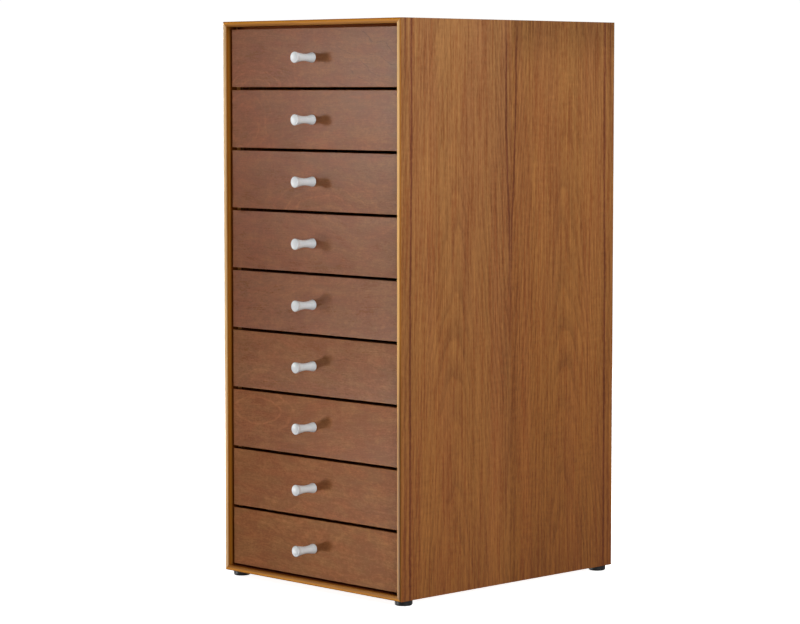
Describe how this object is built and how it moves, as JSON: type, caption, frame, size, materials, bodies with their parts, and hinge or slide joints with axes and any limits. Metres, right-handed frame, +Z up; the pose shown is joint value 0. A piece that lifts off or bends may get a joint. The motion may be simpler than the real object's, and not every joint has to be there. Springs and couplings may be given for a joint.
{
  "type": "pencil drawer box",
  "caption": "Tall wooden table-top chest on low round glides, with a stack of equal shallow drawers behind a thin mitred front edging and one small waisted white pull on each drawer.",
  "frame": {"origin": "centre of the overall footprint, pulls included, on the surface that the glides stand on", "axes": "+Z up, X across the width, drawers open towards -Y"},
  "size_m": [0.283, 0.359, 0.6224],
  "materials": {
    "case_veneer": "satin walnut or teak veneer, grain upright",
    "back_veneer": "matt veneered panel",
    "edging_wood": "satin solid edging, lighter than the case",
    "front_wood": "satin reddish brown veneer, grain level",
    "box_wood": "matt pale hardwood",
    "plywood": "matt thin plywood",
    "runner_wood": "waxed hardwood",
    "pull_enamel": "white enamel",
    "screw_steel": "zinc plated",
    "glide_black": "gloss black"
  },
  "bodies": {
    "case": {"case_left_side": "case_veneer", "case_right_side": "case_veneer", "case_top": "case_veneer", "case_bottom": "case_veneer", "case_back": "back_veneer", "edging_left": "edging_wood", "edging_right": "edging_wood", "edging_top": "edging_wood", "edging_bottom": "edging_wood", "mitre_splines": "plywood", "runners_left": "runner_wood", "runners_right": "runner_wood", "back_screws": "screw_steel", "feet": "glide_black", "foot_screws": "screw_steel"},
    "drawer_1": {"drawer_1_front": "front_wood", "drawer_1_box": "box_wood", "drawer_1_bottom": "plywood", "drawer_1_knob": "pull_enamel", "drawer_1_knob_screw": "screw_steel"},
    "drawer_2": {"drawer_2_front": "front_wood", "drawer_2_box": "box_wood", "drawer_2_bottom": "plywood", "drawer_2_knob": "pull_enamel", "drawer_2_knob_screw": "screw_steel"},
    "drawer_3": {"drawer_3_front": "front_wood", "drawer_3_box": "box_wood", "drawer_3_bottom": "plywood", "drawer_3_knob": "pull_enamel", "drawer_3_knob_screw": "screw_steel"},
    "drawer_4": {"drawer_4_front": "front_wood", "drawer_4_box": "box_wood", "drawer_4_bottom": "plywood", "drawer_4_knob": "pull_enamel", "drawer_4_knob_screw": "screw_steel"},
    "drawer_5": {"drawer_5_front": "front_wood", "drawer_5_box": "box_wood", "drawer_5_bottom": "plywood", "drawer_5_knob": "pull_enamel", "drawer_5_knob_screw": "screw_steel"},
    "drawer_6": {"drawer_6_front": "front_wood", "drawer_6_box": "box_wood", "drawer_6_bottom": "plywood", "drawer_6_knob": "pull_enamel", "drawer_6_knob_screw": "screw_steel"},
    "drawer_7": {"drawer_7_front": "front_wood", "drawer_7_box": "box_wood", "drawer_7_bottom": "plywood", "drawer_7_knob": "pull_enamel", "drawer_7_knob_screw": "screw_steel"},
    "drawer_8": {"drawer_8_front": "front_wood", "drawer_8_box": "box_wood", "drawer_8_bottom": "plywood", "drawer_8_knob": "pull_enamel", "drawer_8_knob_screw": "screw_steel"},
    "drawer_9": {"drawer_9_front": "front_wood", "drawer_9_box": "box_wood", "drawer_9_bottom": "plywood", "drawer_9_knob": "pull_enamel", "drawer_9_knob_screw": "screw_steel"}
  },
  "joints": [
    {"name": "drawer_1_slide", "type": "slide", "parent": "case", "child": "drawer_1", "axis": [0, -1, 0], "range_m": [0, 0.25]},
    {"name": "drawer_2_slide", "type": "slide", "parent": "case", "child": "drawer_2", "axis": [0, -1, 0], "range_m": [0, 0.25]},
    {"name": "drawer_3_slide", "type": "slide", "parent": "case", "child": "drawer_3", "axis": [0, -1, 0], "range_m": [0, 0.25]},
    {"name": "drawer_4_slide", "type": "slide", "parent": "case", "child": "drawer_4", "axis": [0, -1, 0], "range_m": [0, 0.25]},
    {"name": "drawer_5_slide", "type": "slide", "parent": "case", "child": "drawer_5", "axis": [0, -1, 0], "range_m": [0, 0.25]},
    {"name": "drawer_6_slide", "type": "slide", "parent": "case", "child": "drawer_6", "axis": [0, -1, 0], "range_m": [0, 0.25]},
    {"name": "drawer_7_slide", "type": "slide", "parent": "case", "child": "drawer_7", "axis": [0, -1, 0], "range_m": [0, 0.25]},
    {"name": "drawer_8_slide", "type": "slide", "parent": "case", "child": "drawer_8", "axis": [0, -1, 0], "range_m": [0, 0.25]},
    {"name": "drawer_9_slide", "type": "slide", "parent": "case", "child": "drawer_9", "axis": [0, -1, 0], "range_m": [0, 0.25]}
  ]
}
